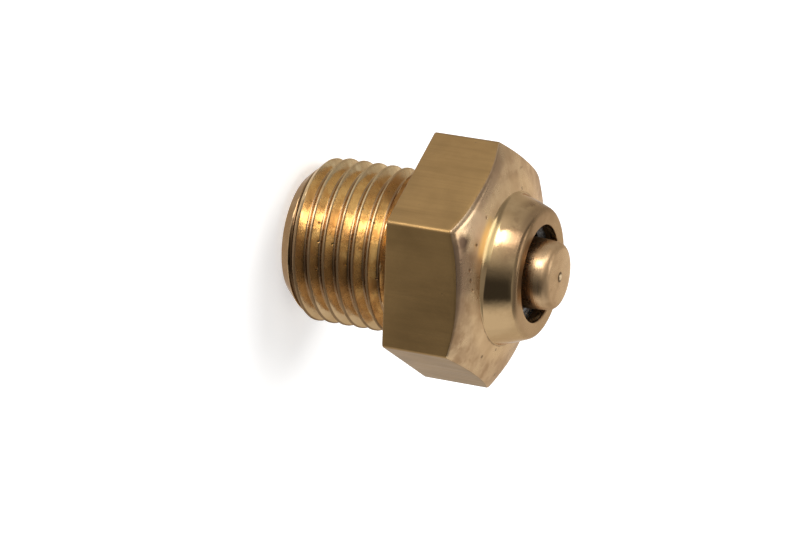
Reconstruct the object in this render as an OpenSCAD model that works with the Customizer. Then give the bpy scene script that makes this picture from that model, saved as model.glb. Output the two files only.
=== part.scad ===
// Spring-loaded pressure relief valve with a threaded inlet end, a hexagon and a closed outlet boss.
// Millimetres. The origin is the centre of the hexagon's thread-side face, which seats on the port.
// +Z is the valve's axis, from the inlet in the threaded end towards the outlet and the standing pin.
// All pieces are drawn with the valve shut: the spring holds the seal disc on the seat.

/* [Hexagon and shoulder] */
// Size across the flats of the drawn bar that the body is turned from
hex_af = 21; // [20:0.5:24]
// Height of the hexagon's corners above the seating face
hex_h = 6.55; // [5:0.05:7.2]
// Slope of the turned chamfer over the hexagon's corners, in degrees
corner_slope = 28; // [15:1:35]
// Slope of the shoulder between the flats and the boss, in degrees
shoulder_slope = 16; // [8:1:22]

/* [Thread] */
// Major diameter over the crests, for a 16 mm thread cut to the usual tolerance
thread_d = 15.75; // [15.6:0.05:16.2]
// Pitch of the right-hand thread
pitch = 1.5; // [1, 1.5, 2]
// Length from the seating face to the threaded end
thread_len = 12.6; // [11:0.1:16]
// Diameter of the flat end face, where the lead-in chamfer starts
end_d = 12.1; // [11.4:0.1:13]
// Length of the lead-in chamfer along the axis
lead_in = 2; // [0.8:0.05:2.2]
// Width of the plain relief between the last thread and the seating face
relief_w = 1.3; // [0.9:0.1:1.8]
// How much smaller the relief's radius is than the thread's root
relief_under = 0.05; // [0.02:0.01:0.15]
// Depth of the recess in the seating face, round the root of the thread
recess_depth = 0.2; // [0.1:0.05:0.4]
// Radial gap that the recess leaves round the thread's crests
recess_gap = 0.2; // [0.1:0.05:0.4]
// Angle round the axis at which a crest would cross the seating face, in degrees
thread_start = 90; // [0:5:355]

/* [Outlet boss] */
// Diameter of the boss where it stands on the shoulder
boss_d = 14.4; // [14:0.1:15]
// Lean of the boss's wall, which the closing die pressed inwards, in degrees
boss_taper = 20; // [12:1:22]
// Height of the boss's flat front above the seating face
boss_top = 11.3; // [10.8:0.1:13]
// Radius of the edge between the boss's wall and the rim's front
rim_r = 0.7; // [0.3:0.05:0.8]
// Thickness of the closed rim over the retaining washer
rim_t = 1.2; // [0.8:0.05:1.5]
// How far the closed rim reaches in over the chamber
rim_lip = 0.77; // [0.5:0.01:1]
// Rounding of the mouth's sharp edge
mouth_edge = 0.12; // [0.05:0.01:0.3]
// Radius of the hollow where the boss leaves the shoulder
boss_fillet = 0.12; // [0.05:0.01:0.4]

/* [Bores and valve seat] */
// Diameter of the chamber that holds the plunger and the spring
chamber_d = 10.8; // [10.5:0.1:11]
// Height of the chamber's floor above the threaded end
floor_h = 3.2; // [2.6:0.1:4]
// Diameter of the inlet bore through the threaded end
inlet_d = 5.4; // [5:0.1:5.8]
// Depth of the countersink at the inlet
inlet_sink = 0.5; // [0.2:0.1:0.8]
// Diameter of the raised sealing edge, at the middle of its flat land
seat_d = 6.6; // [6.4:0.1:7.2]
// Height of the sealing edge above the chamber's floor
seat_h = 0.8; // [0.5:0.1:1.2]
// Width of the flat land on the sealing edge
seat_land = 0.25; // [0.15:0.05:0.35]

/* [Plunger] */
// Diameter of the pin that stands out of the outlet
pin_d = 6.76; // [6:0.02:7.2]
// Height of the pin's end above the boss's rim
pin_out = 1.95; // [1:0.05:3]
// Radius of the pin's rounded end edge
pin_edge = 0.75; // [0.2:0.05:1]
// Diameter of the pip that the parting tool leaves on the pin's end
pip_d = 0.5; // [0.3:0.05:0.8]
// Height of that pip
pip_h = 0.12; // [0.05:0.01:0.2]
// Radial running clearance of the guide collar in the chamber
guide_gap = 0.06; // [0.02:0.01:0.1]
// Length of the guide collar
guide_len = 2.6; // [1.6:0.1:3.4]
// Break on the guide collar's edges
guide_break = 0.2; // [0.05:0.05:0.4]
// Number of flats milled on the guide collar for the flow
guide_flats = 3; // [3:1:4]
// Depth of each flat below the collar's outside
flat_depth = 1.05; // [0.7:0.05:1.2]
// Length of the stub that centres the spring over the collar
stub_len = 1; // [0.6:0.1:1.6]
// Radial gap between that stub and the inside of the spring
stub_gap = 0.3; // [0.2:0.05:0.4]
// Travel of the plunger from shut until the spring's turns close up
lift = 3; // [1.5:0.1:4]

/* [Seal] */
// Thickness of the rubber seal disc
seal_t = 1.6; // [1.2:0.1:2]
// Width of the seal disc outside the sealing edge
seal_margin = 0.7; // [0.5:0.05:0.9]
// Depth to which the disc sits in the plunger's cup
cup_depth = 0.7; // [0.4:0.1:0.9]
// Radial gap round the disc in the cup
cup_gap = 0.05; // [0.02:0.01:0.1]
// Wall of the cup round the disc
cup_wall = 0.6; // [0.4:0.05:0.7]
// Thickness of brass between the disc and the guide collar
cup_floor = 0.7; // [0.4:0.1:1]
// Radial gap between the seal washer and the inlet bore
washer_gap = 0.5; // [0.35:0.05:0.7]
// Thickness of the washer that holds the disc
seal_washer_t = 0.5; // [0.3:0.1:0.6]
// Shank diameter of the screw through the washer
screw_d = 2; // [1.8:0.1:2.4]
// Length of the screw's shank
screw_len = 5; // [4.2:0.1:6]
// Depth of the screw's hole past the end of the shank
hole_spare = 0.4; // [0.2:0.1:0.6]
// Head diameter of the screw
screw_head_d = 3.8; // [3.2:0.1:4]
// Head height of the screw
screw_head_h = 1.1; // [0.8:0.1:1.4]
// Width of the driving slot in the screw's head
slot_w = 0.5; // [0.4:0.05:0.7]
// Depth of that slot
slot_depth = 0.5; // [0.3:0.05:0.7]
// Radial play of the screw in the washer, the disc and the plunger
screw_play = 0.06; // [0.03:0.01:0.1]

/* [Spring and retaining washer] */
// Wire diameter of the spring
wire_d = 1; // [0.8:0.05:1.1]
// Radial gap between the spring and the chamber's wall
spring_gap = 0.2; // [0.1:0.05:0.3]
// Play left between the spring's turns at full lift
spring_spare = 0.2; // [0.1:0.05:0.4]
// Thickness of the retaining washer
retainer_t = 0.6; // [0.4:0.05:0.8]
// How far the washer's hole stands back from the mouth's edge
retainer_step = 0.12; // [0.05:0.01:0.2]
// Radial gap round the retaining washer in the chamber
retainer_gap = 0.05; // [0.02:0.01:0.1]

/* [Hidden] */
$fn = 96;

brass = [0.72, 0.54, 0.30];
steel = [0.62, 0.64, 0.67];
rubber = [0.10, 0.10, 0.11];

// How far a cut runs past the face that it opens
past = 1;

hex_r = hex_af / 2 / cos(30);
thread_r = thread_d / 2;
boss_r = boss_d / 2;
chamber_r = chamber_d / 2;
mouth_r = chamber_r - rim_lip;
inlet_r = inlet_d / 2;
seat_r = seat_d / 2;
pin_r = pin_d / 2;

// Heights along the axis, from the threaded end up
z_end = -thread_len;
z_floor = z_end + floor_h;
z_seat = z_floor + seat_h;
z_disc = z_seat + seal_t;
z_collar = z_disc + cup_floor;
z_spring = z_collar + guide_len;
z_rim = boss_top - rim_t;
z_retainer = z_rim - retainer_t;
z_pin = boss_top + pin_out;

// Thread form: sixty degree flanks, with the metric shares of the pitch for depth and crest
thread_depth = 0.6134 * pitch;
crest_flat = pitch / 8;
flank = 30;
root_r = thread_r - thread_depth;
relief_r = root_r - relief_under;
recess_r = thread_r + recess_gap;

// Seal disc, screw and spring radii
disc_r = seat_r + seat_land / 2 + seal_margin;
cup_r = disc_r + cup_gap;
screw_r = screw_d / 2;
screw_hole_r = screw_r + screw_play;
z_head = z_seat - seal_washer_t;
coil_r = chamber_r - spring_gap - wire_d / 2;

// Points of an arc about (x, y) from angle a to angle b
function arc(x, y, r, a, b, n = 8) =
    [for (i = [0 : n]) let (t = a + (b - a) * i / n) [x + r * cos(t), y + r * sin(t)]];

// Triangles that join n rings of m points into a tube, with both ends closed by a fan
function tube_faces(n, m) = concat(
    [for (i = [0 : n - 2], j = [0 : m - 1])
        let (a = i * m + j, b = i * m + (j + 1) % m, c = a + m, d = b + m)
        each [[a, c, b], [b, c, d]]],
    [for (j = [1 : m - 2]) [0, j, j + 1]],
    [for (j = [1 : m - 2]) let (e = (n - 1) * m) [e, e + j + 1, e + j]]
);

// The V that the threading tool cuts, swept along the helix. It starts beyond the threaded end
// and runs out into the relief. Four points make each section, the inner two on the root flat.
module thread_groove() {
    per_turn = 36;
    // How far the cutter stands out past the crests
    reach = 0.4;
    z_from = z_end - pitch;
    z_to = -relief_w / 2;
    rings = ceil((z_to - z_from) / pitch * per_turn) + 1;
    root_w = pitch - crest_flat - 2 * thread_depth * tan(flank);
    top_w = root_w + 2 * (thread_depth + reach) * tan(flank);
    section = [
        [root_r, -root_w / 2],
        [root_r, root_w / 2],
        [thread_r + reach, top_w / 2],
        [thread_r + reach, -top_w / 2]
    ];
    points = [for (i = [0 : rings - 1])
        let (
            z = z_from + (z_to - z_from) * i / (rings - 1),
            a = thread_start + 360 * (z - pitch / 2) / pitch
        )
        for (p = section) [p[0] * cos(a), p[0] * sin(a), z + p[1]]];
    polyhedron(points = points, faces = tube_faces(rings, len(section)));
}

// Threaded end: a turned blank with lead-in chamfer and relief, less the helical groove
module threaded_end() {
    relief_cut = (thread_r - relief_r) * tan(flank);
    difference() {
        rotate_extrude()
            polygon([
                [0, z_end],
                [end_d / 2, z_end],
                [thread_r, z_end + lead_in],
                [thread_r, -relief_w - relief_cut],
                [relief_r, -relief_w],
                [relief_r, hex_h / 2],
                [0, hex_h / 2]
            ]);
        thread_groove();
    }
}

// Hexagon with its turned chamfer and shoulder, and the boss that stands on the shoulder. The
// recess in its lower face keeps the seating washer clear of the thread.
module head() {
    flat_r = hex_af / 2;
    z_flat = hex_h + (hex_r - flat_r) * tan(corner_slope);
    z_boss = z_flat + (flat_r - boss_r) * tan(shoulder_slope);
    // Centre of the hollow, on the line that halves the corner between shoulder and wall
    corner = 90 + boss_taper + shoulder_slope;
    hollow_out = boss_fillet / sin(corner / 2);
    fillet_x = boss_r + hollow_out * cos(corner / 2 - shoulder_slope);
    fillet_z = z_boss + hollow_out * sin(corner / 2 - shoulder_slope);
    // Centre of the edge, its radius below the front and inside the wall
    edge_z = boss_top - rim_r;
    edge_x = boss_r - (edge_z - z_boss) * tan(boss_taper) - rim_r / cos(boss_taper);
    intersection() {
        cylinder(r = hex_r, h = boss_top, $fn = 6);
        rotate_extrude()
            polygon(concat(
                [
                    [0, recess_depth],
                    [recess_r, recess_depth],
                    [recess_r, 0],
                    [hex_r + past, 0],
                    [hex_r + past, hex_h - past * tan(corner_slope)],
                    [flat_r, z_flat]
                ],
                arc(fillet_x, fillet_z, boss_fillet, 270 - shoulder_slope, 180 + boss_taper, 4),
                arc(edge_x, edge_z, rim_r, boss_taper, 90, 6),
                [[0, boss_top]]
            ));
    }
}

// Inlet bore, raised sealing edge, chamber and outlet mouth, as one turned hollow
module bores() {
    seat_in = seat_r - seat_land / 2;
    seat_out = seat_r + seat_land / 2;
    rotate_extrude()
        polygon(concat(
            [
                [0, z_end - past],
                [inlet_r + inlet_sink + past, z_end - past],
                [inlet_r, z_end + inlet_sink],
                [inlet_r, z_seat - (seat_in - inlet_r)],
                [seat_in, z_seat],
                [seat_out, z_seat],
                [seat_out + seat_h * tan(flank), z_floor],
                [chamber_r, z_floor],
                [chamber_r, z_rim],
                [mouth_r, z_rim]
            ],
            arc(mouth_r + mouth_edge, boss_top - mouth_edge, mouth_edge, 180, 90, 4),
            [
                [mouth_r + mouth_edge, boss_top + past],
                [0, boss_top + past]
            ]
        ));
}

// One turned piece: thread, hexagon, boss and the bores through them
module body() {
    color(brass)
    difference() {
        union() {
            threaded_end();
            head();
        }
        bores();
    }
}

// Turned plunger: cup for the seal disc, guide collar with flats, stub for the spring, long pin
module plunger() {
    collar_r = chamber_r - guide_gap;
    stub_r = coil_r - wire_d / 2 - stub_gap;
    cup_out = cup_r + cup_wall;
    hole_top = z_head + screw_len + hole_spare;
    color(brass)
    difference() {
        rotate_extrude()
            polygon(concat(
                [
                    [0, z_disc],
                    [cup_r, z_disc],
                    [cup_r, z_disc - cup_depth],
                    [cup_out, z_disc - cup_depth],
                    [cup_out, z_collar],
                    [collar_r - guide_break, z_collar],
                    [collar_r, z_collar + guide_break],
                    [collar_r, z_spring - guide_break],
                    [collar_r - guide_break, z_spring],
                    [stub_r, z_spring],
                    [stub_r, z_spring + stub_len - guide_break],
                    [stub_r - guide_break, z_spring + stub_len],
                    [pin_r, z_spring + stub_len]
                ],
                arc(pin_r - pin_edge, z_pin - pin_edge, pin_edge, 0, 90),
                [
                    [pip_d / 2, z_pin],
                    [pip_d / 2, z_pin + pip_h],
                    [0, z_pin + pip_h]
                ]
            ));
        for (i = [0 : guide_flats - 1])
            rotate(i * 360 / guide_flats)
                translate([collar_r - flat_depth, -collar_r, z_collar])
                    cube([flat_depth + past, 2 * collar_r, guide_len]);
        translate([0, 0, z_disc - past])
            cylinder(r = screw_hole_r, h = hole_top - z_disc + past);
    }
}

// Ring with a square section, for the disc and the washers
module ring(outer, inner, z, t) {
    translate([0, 0, z])
        difference() {
            cylinder(r = outer, h = t);
            translate([0, 0, -past])
                cylinder(r = inner, h = t + 2 * past);
        }
}

// Moulded rubber disc, held in the cup and pressed on the sealing edge
module seal_disc() {
    color(rubber)
    ring(disc_r, screw_hole_r, z_seat, seal_t);
}

// Small washer that clamps the middle of the disc inside the sealing edge
module seal_washer() {
    color(brass)
    ring(inlet_r - washer_gap, screw_hole_r, z_head, seal_washer_t);
}

// Slotted cheese-head screw up through the washer and the disc into the plunger
module seal_screw() {
    head_break = 0.15;
    head_r = screw_head_d / 2;
    z_bottom = z_head - screw_head_h;
    color(brass)
    difference() {
        rotate_extrude()
            polygon([
                [0, z_bottom],
                [head_r - head_break, z_bottom],
                [head_r, z_bottom + head_break],
                [head_r, z_head],
                [screw_r, z_head],
                [screw_r, z_head + screw_len - head_break],
                [screw_r - head_break, z_head + screw_len],
                [0, z_head + screw_len]
            ]);
        translate([-head_r - past, -slot_w / 2, z_bottom - past])
            cube([screw_head_d + 2 * past, slot_w, slot_depth + past]);
    }
}

// Compression spring with closed ends ground flat, between the guide collar and the washer.
// Its turns are as many as close up solid when the plunger has risen by its full lift.
module spring() {
    per_turn = 20;
    sides = 10;
    length = z_retainer - z_spring;
    turns = (length - lift - spring_spare) / wire_d;
    rings = ceil(turns * per_turn) + 1;
    // Each end turn lies close, wire on wire, and the turns between share the rest of the length
    rise = (length - 2 * wire_d) / (turns - 2);
    color(steel)
    intersection() {
        translate([0, 0, z_spring])
            cylinder(r = chamber_r, h = length);
        polyhedron(
            points = [for (i = [0 : rings - 1])
                let (
                    t = turns * i / (rings - 1),
                    z = z_spring + (t < 1 ? wire_d * t
                        : t > turns - 1 ? length - wire_d * (turns - t)
                        : wire_d + rise * (t - 1))
                )
                for (j = [0 : sides - 1])
                    let (b = 360 * j / sides, r = coil_r + wire_d / 2 * cos(b))
                    [r * cos(360 * t), r * sin(360 * t), z + wire_d / 2 * sin(b)]],
            faces = tube_faces(rings, sides)
        );
    }
}

// Steel washer on the spring's end, trapped under the closed rim
module retaining_washer() {
    color(steel)
    ring(chamber_r - retainer_gap, mouth_r + retainer_step, z_retainer, retainer_t);
}

body();
plunger();
seal_disc();
seal_washer();
seal_screw();
spring();
retaining_washer();
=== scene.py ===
import math

import bmesh
import bpy
import numpy as np
from mathutils import Matrix, Vector


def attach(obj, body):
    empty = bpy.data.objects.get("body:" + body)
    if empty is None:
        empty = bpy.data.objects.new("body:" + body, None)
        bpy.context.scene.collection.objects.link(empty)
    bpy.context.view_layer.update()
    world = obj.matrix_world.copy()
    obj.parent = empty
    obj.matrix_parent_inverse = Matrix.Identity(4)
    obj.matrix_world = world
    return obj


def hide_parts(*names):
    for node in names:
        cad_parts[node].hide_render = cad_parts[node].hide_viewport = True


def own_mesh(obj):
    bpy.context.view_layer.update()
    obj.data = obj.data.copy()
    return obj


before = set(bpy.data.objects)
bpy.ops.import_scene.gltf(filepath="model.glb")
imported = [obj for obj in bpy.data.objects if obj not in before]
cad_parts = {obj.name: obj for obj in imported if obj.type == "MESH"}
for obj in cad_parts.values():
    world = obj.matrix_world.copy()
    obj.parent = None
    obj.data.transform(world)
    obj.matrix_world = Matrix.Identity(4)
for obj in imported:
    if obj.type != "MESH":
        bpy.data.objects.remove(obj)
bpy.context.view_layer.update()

# BODY: THE TURNED BLANK
# One piece of drawn brass hexagon bar, 21 mm across its flats. The lathe turns the shoulder, the
# boss and the relief behind the thread, and bores it. At assembly a conical die presses the boss
# inwards, over the spring and its washer.
MM = 0.001
AF = 21.0
HEX_R = AF / 2 / math.cos(math.radians(30))
HEX_H = 6.55
CORNER_SLOPE = math.radians(28)
SHOULDER_SLOPE = math.radians(16)
CORNER_ROUND = 0.42
ARC_ROUND = 0.3
ARC_WORN = 0.7
FACE_ROUND = 0.14
RELIEF_R = 6.905
RELIEF_TOP = -1.0
RELIEF_ROUND = 0.12
RECESS_R = 8.075
RECESS_DEPTH = 0.2
BOSS_R = 7.2
BOSS_TAPER = math.radians(20)
BOSS_TOP = 11.3
EDGE_ROUND = 0.7
RIM_Z = 10.1
MOUTH_ROUND = 0.12
BOSS_FILLET = 0.12
FOOT_WIPED = 0.9
WALL_BOW = math.radians(3)
CHAMBER_R = 5.4
RIM_LIP = 0.77
MOUTH_R = CHAMBER_R - RIM_LIP
FLOOR_Z = -9.4
SEAT_Z = -8.6
SEAT_IN = 3.175
SEAT_OUT = 3.425
SEAT_FLANK = 0.46
INLET_R = 2.7
INLET_SINK = 0.5
END_R = 6.05
END_Z = -12.6
COLUMNS = 240

# Degrees from a corner at which the columns of the mesh stand, close together where it is round
near_corner = [0.15, 0.3, 0.45, 0.62, 0.85, 1.3, 2.0, 3.2]
sector = sorted([0.0] + near_corner + [60 - a for a in near_corner] + list(np.linspace(5, 55, 23)))
hex_angles = np.radians([60 * k + a for k in range(6) for a in sector])
even_angles = np.linspace(0, 2 * math.pi, COLUMNS, endpoint=False)


def bar_radius(angle):
    """Radius of the hexagon bar, with its corners rounded by the drawing die."""
    off = np.abs((angle + math.pi / 6) % (math.pi / 3) - math.pi / 6)
    middle = HEX_R - CORNER_ROUND / math.cos(math.pi / 6)
    off_end = math.atan2(CORNER_ROUND / 2, middle + CORNER_ROUND * math.cos(math.pi / 6))
    flat = AF / 2 / np.cos(math.pi / 6 - off)
    inside = np.clip(CORNER_ROUND ** 2 - (middle * np.sin(off)) ** 2, 0, None)
    return np.where(off < off_end, middle * np.cos(off) + np.sqrt(inside), flat)


def shoulder_z(r):
    """Height of the turned shoulder at radius r: the corner chamfer runs softly into the slope."""
    flat_z = HEX_H + (HEX_R - AF / 2) * math.tan(CORNER_SLOPE)
    chamfer = HEX_H + (HEX_R - r) * math.tan(CORNER_SLOPE)
    slope = flat_z + (AF / 2 - r) * math.tan(SHOULDER_SLOPE)
    soft = 0.12
    h = np.clip(0.5 + 0.5 * (slope - chamfer) / soft, 0, 1)
    return slope * (1 - h) + chamfer * h - soft * h * (1 - h)


def ring(r, z, angles):
    """One ring of points round the axis, in metres. r and z may change from point to point."""
    r, z = np.broadcast_to(r, angles.shape), np.broadcast_to(z, angles.shape)
    return np.stack([r * np.cos(angles), r * np.sin(angles), z], 1) * MM


def bend(r, z, radius, start, end, steps):
    """Points (r, z) of a rounding about (r, z), from angle start to end in degrees."""
    return [(r + radius * math.cos(math.radians(a)), z + radius * math.sin(math.radians(a)))
            for a in np.linspace(start, end, steps)]


def skin(rings, zones, materials, name):
    """A mesh of quads through the rings. The gap after a ring takes the material of its zone."""
    count = len(rings[0])
    mesh = bpy.data.meshes.new(name)
    quads, slots = [], []
    for i in range(len(rings) - 1):
        for j in range(count):
            k = (j + 1) % count
            quads.append((i * count + j, i * count + k, (i + 1) * count + k, (i + 1) * count + j))
            slots.append(zones[i])
    mesh.from_pydata(np.concatenate(rings).tolist(), [], quads)
    for material in materials:
        mesh.materials.append(material)
    mesh.polygons.foreach_set("material_index", slots)
    return mesh


FLAT, SHOULDER, BOSS, BORE, THREAD = range(5)
bar_r = bar_radius(hex_angles)
rings, zones = [], []


def add_ring(r, z, angles, zone):
    """One more ring of the blank, and the zone of the gap after it."""
    rings.append(ring(r, z, angles))
    zones.append(zone)


relief_round = bend(RELIEF_R + RELIEF_ROUND, RECESS_DEPTH - RELIEF_ROUND, RELIEF_ROUND, 180, 90, 4)
recess = [(RECESS_R - 0.08, RECESS_DEPTH), (RECESS_R, RECESS_DEPTH - 0.06), (RECESS_R, 0.05)]
for r, z in [(RELIEF_R, RELIEF_TOP)] + relief_round + recess:
    add_ring(r, z, even_angles, SHOULDER)
for r, z in ((RECESS_R + 0.05, 0.0), (9.0, 0.0)):
    add_ring(r, z, hex_angles, SHOULDER)
for r, z in bend(-FACE_ROUND, FACE_ROUND, FACE_ROUND, -90, 0, 4):
    add_ring(bar_r + r, z, hex_angles, FLAT)
# The arc between flat and shoulder is worn softer round one corner
arc_round = ARC_ROUND + ARC_WORN * np.clip(np.cos(hex_angles - math.radians(58)), 0, 1) ** 5
slope_r = bar_r - arc_round
slope = -(shoulder_z(slope_r + 0.02) - shoulder_z(slope_r - 0.02)) / 0.04
lean = np.arctan(slope)
arc_z = shoulder_z(slope_r) - arc_round / np.cos(lean)
for share in (0.3, 0.6, 0.9):
    add_ring(bar_r, FACE_ROUND + (arc_z - FACE_ROUND) * share, hex_angles, FLAT)
for share in np.linspace(0, 1, 7):
    turn = (math.pi / 2 - lean) * share
    zone = FLAT if share < 0.3 else SHOULDER
    arc_r = slope_r + arc_round * np.cos(turn)
    add_ring(arc_r, arc_z + arc_round * np.sin(turn), hex_angles, zone)
slope_r = slope_r + arc_round * np.sin(lean)
boss_z = float(shoulder_z(np.array(BOSS_R)))
corner = (math.pi / 2 + BOSS_TAPER + SHOULDER_SLOPE) / 2
# The die wiped the corner under the boss to a wider hollow on one side
fillet = BOSS_FILLET + FOOT_WIPED * np.clip(np.cos(hex_angles - math.radians(48)), 0, 1) ** 2
fillet_r = BOSS_R + fillet / math.sin(corner) * math.cos(corner - SHOULDER_SLOPE)
fillet_z = boss_z + fillet / math.sin(corner) * math.sin(corner - SHOULDER_SLOPE)
fillet_start = 270 - math.degrees(SHOULDER_SLOPE)
fillet_end = 180 + math.degrees(BOSS_TAPER)
foot_r = fillet_r + fillet * math.cos(math.radians(fillet_start)) + 0.03
for share in np.linspace(0.06, 1, 16):
    r = slope_r + (foot_r - slope_r) * share
    add_ring(r, shoulder_z(r), hex_angles, SHOULDER)
for r, z in bend(fillet_r, fillet_z, fillet, fillet_start, fillet_end, 7):
    add_ring(r, z, hex_angles, BOSS)
# The wall bows out a little between its foot and the edge
edge_lean = BOSS_TAPER + WALL_BOW
wall_end = BOSS_TOP - EDGE_ROUND * (1 - math.sin(edge_lean))
wall = []
for share in (0.26, 0.4, 0.55, 0.7, 0.85, 1):
    z = boss_z + (wall_end - boss_z) * share
    bow = math.tan(WALL_BOW) * (wall_end - boss_z) * share * (1 - share)
    wall.append((BOSS_R - (z - boss_z) * math.tan(BOSS_TAPER) + bow, z))
edge_r = wall[-1][0] - EDGE_ROUND * math.cos(edge_lean)
rim_edge = bend(edge_r, BOSS_TOP - EDGE_ROUND, EDGE_ROUND, math.degrees(edge_lean), 90, 10)[1:]
rim_front = [(5.4, BOSS_TOP), (5.0, BOSS_TOP)]
mouth = bend(MOUTH_R + MOUTH_ROUND, BOSS_TOP - MOUTH_ROUND, MOUTH_ROUND, 90, 180, 5)
for r, z in wall + rim_edge + rim_front + mouth:
    add_ring(r, z, hex_angles, BOSS)
chamber = [(CHAMBER_R, z) for z in (RIM_Z, 6, 2, -2, -6, FLOOR_Z)]
seat = [(SEAT_OUT + SEAT_FLANK, FLOOR_Z), (SEAT_OUT, SEAT_Z), (SEAT_IN, SEAT_Z)]
inlet = [(INLET_R, SEAT_Z - SEAT_IN + INLET_R), (INLET_R, END_Z + INLET_SINK)]
for r, z in [(MOUTH_R, 10.6), (MOUTH_R, RIM_Z)] + chamber + seat + inlet:
    add_ring(r, z, hex_angles, BORE)
add_ring(INLET_R + INLET_SINK, END_Z, hex_angles, SHOULDER)
add_ring(END_R - 0.5, END_Z, even_angles, SHOULDER)
add_ring(END_R, END_Z, even_angles, SHOULDER)


# BODY: THE THREAD
# A 16 mm by 1.5 mm right-hand thread, cut with a single-point tool on the lathe. Its rows follow
# the helix, so crests and roots are unbroken lines. The lead-in chamfer and the relief end it.
PITCH = 1.5
CREST_R = 7.875
ROOT_R = 6.955
CREST_SOFT = 0.06
ROOT_SOFT = 0.16
END_SOFT = 0.05
LEAD_IN = 2.0
RELIEF_Z = -1.3


def math_node(tree, operation, *values):
    """A Math node on a tree, with each input linked from a socket or set to a number."""
    node = tree.nodes.new("ShaderNodeMath")
    node.operation = operation
    for socket, value in zip(node.inputs, values):
        if isinstance(value, (int, float)):
            socket.default_value = value
        else:
            tree.links.new(value, socket)
    return node.outputs[0]


def node_of(tree, kind, links=None, **values):
    """A node with some inputs linked or set by name, and its properties set by attribute."""
    node = tree.nodes.new(kind)
    for key, value in values.items():
        setattr(node, key, value)
    for name, value in (links or {}).items():
        if isinstance(value, bpy.types.NodeSocket):
            tree.links.new(value, node.inputs[name])
        else:
            node.inputs[name].default_value = value
    return node


def new_tree(name, sizes):
    """A Geometry Nodes tree with one named number input for each size, and a geometry output."""
    tree = bpy.data.node_groups.new(name, "GeometryNodeTree")
    for size in sizes:
        tree.interface.new_socket(size, in_out="INPUT", socket_type="NodeSocketFloat")
    tree.interface.new_socket("Geometry", in_out="OUTPUT", socket_type="NodeSocketGeometry")
    return tree, tree.nodes.new("NodeGroupInput").outputs, tree.nodes.new("NodeGroupOutput").inputs


def position(tree):
    """The x, y and z of each point."""
    spot = tree.nodes.new("GeometryNodeInputPosition").outputs[0]
    return node_of(tree, "ShaderNodeSeparateXYZ", {0: spot}).outputs


def moved(tree, geometry, x, y, z):
    """The geometry with each point put at x, y, z."""
    spot = node_of(tree, "ShaderNodeCombineXYZ", {0: x, 1: y, 2: z})
    return node_of(tree, "GeometryNodeSetPosition", {
        "Geometry": geometry, "Position": spot.outputs[0]}).outputs[0]


def wrapped(tree, geometry, r, angle, z):
    """The geometry with each point put at a radius and an angle round the axis, at height z."""
    x = math_node(tree, "MULTIPLY", math_node(tree, "COSINE", angle), r)
    y = math_node(tree, "MULTIPLY", math_node(tree, "SINE", angle), r)
    return moved(tree, geometry, x, y, z)


def painted(tree, geometry, material, result):
    """Ends a tree: the geometry made real, in its material."""
    real = node_of(tree, "GeometryNodeRealizeInstances", {0: geometry})
    paint = node_of(tree, "GeometryNodeSetMaterial", {
        "Geometry": real.outputs[0], "Material": material})
    tree.links.new(paint.outputs[0], result["Geometry"])


def grown(tree, sizes, name):
    """The plain mesh that a tree makes with these sizes."""
    holder = bpy.data.objects.new(name, bpy.data.meshes.new(name))
    bpy.context.scene.collection.objects.link(holder)
    modifier = holder.modifiers.new("shape", "NODES")
    modifier.node_group = tree
    sockets = {s.name: s.identifier for s in tree.interface.items_tree if s.in_out == "INPUT"}
    for size, value in sizes.items():
        modifier[sockets[size]] = float(value)
    holder.update_tag()
    bpy.context.view_layer.update()
    seen = holder.evaluated_get(bpy.context.evaluated_depsgraph_get())
    mesh = bpy.data.meshes.new_from_object(seen)
    bpy.data.objects.remove(holder)
    return mesh


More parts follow.
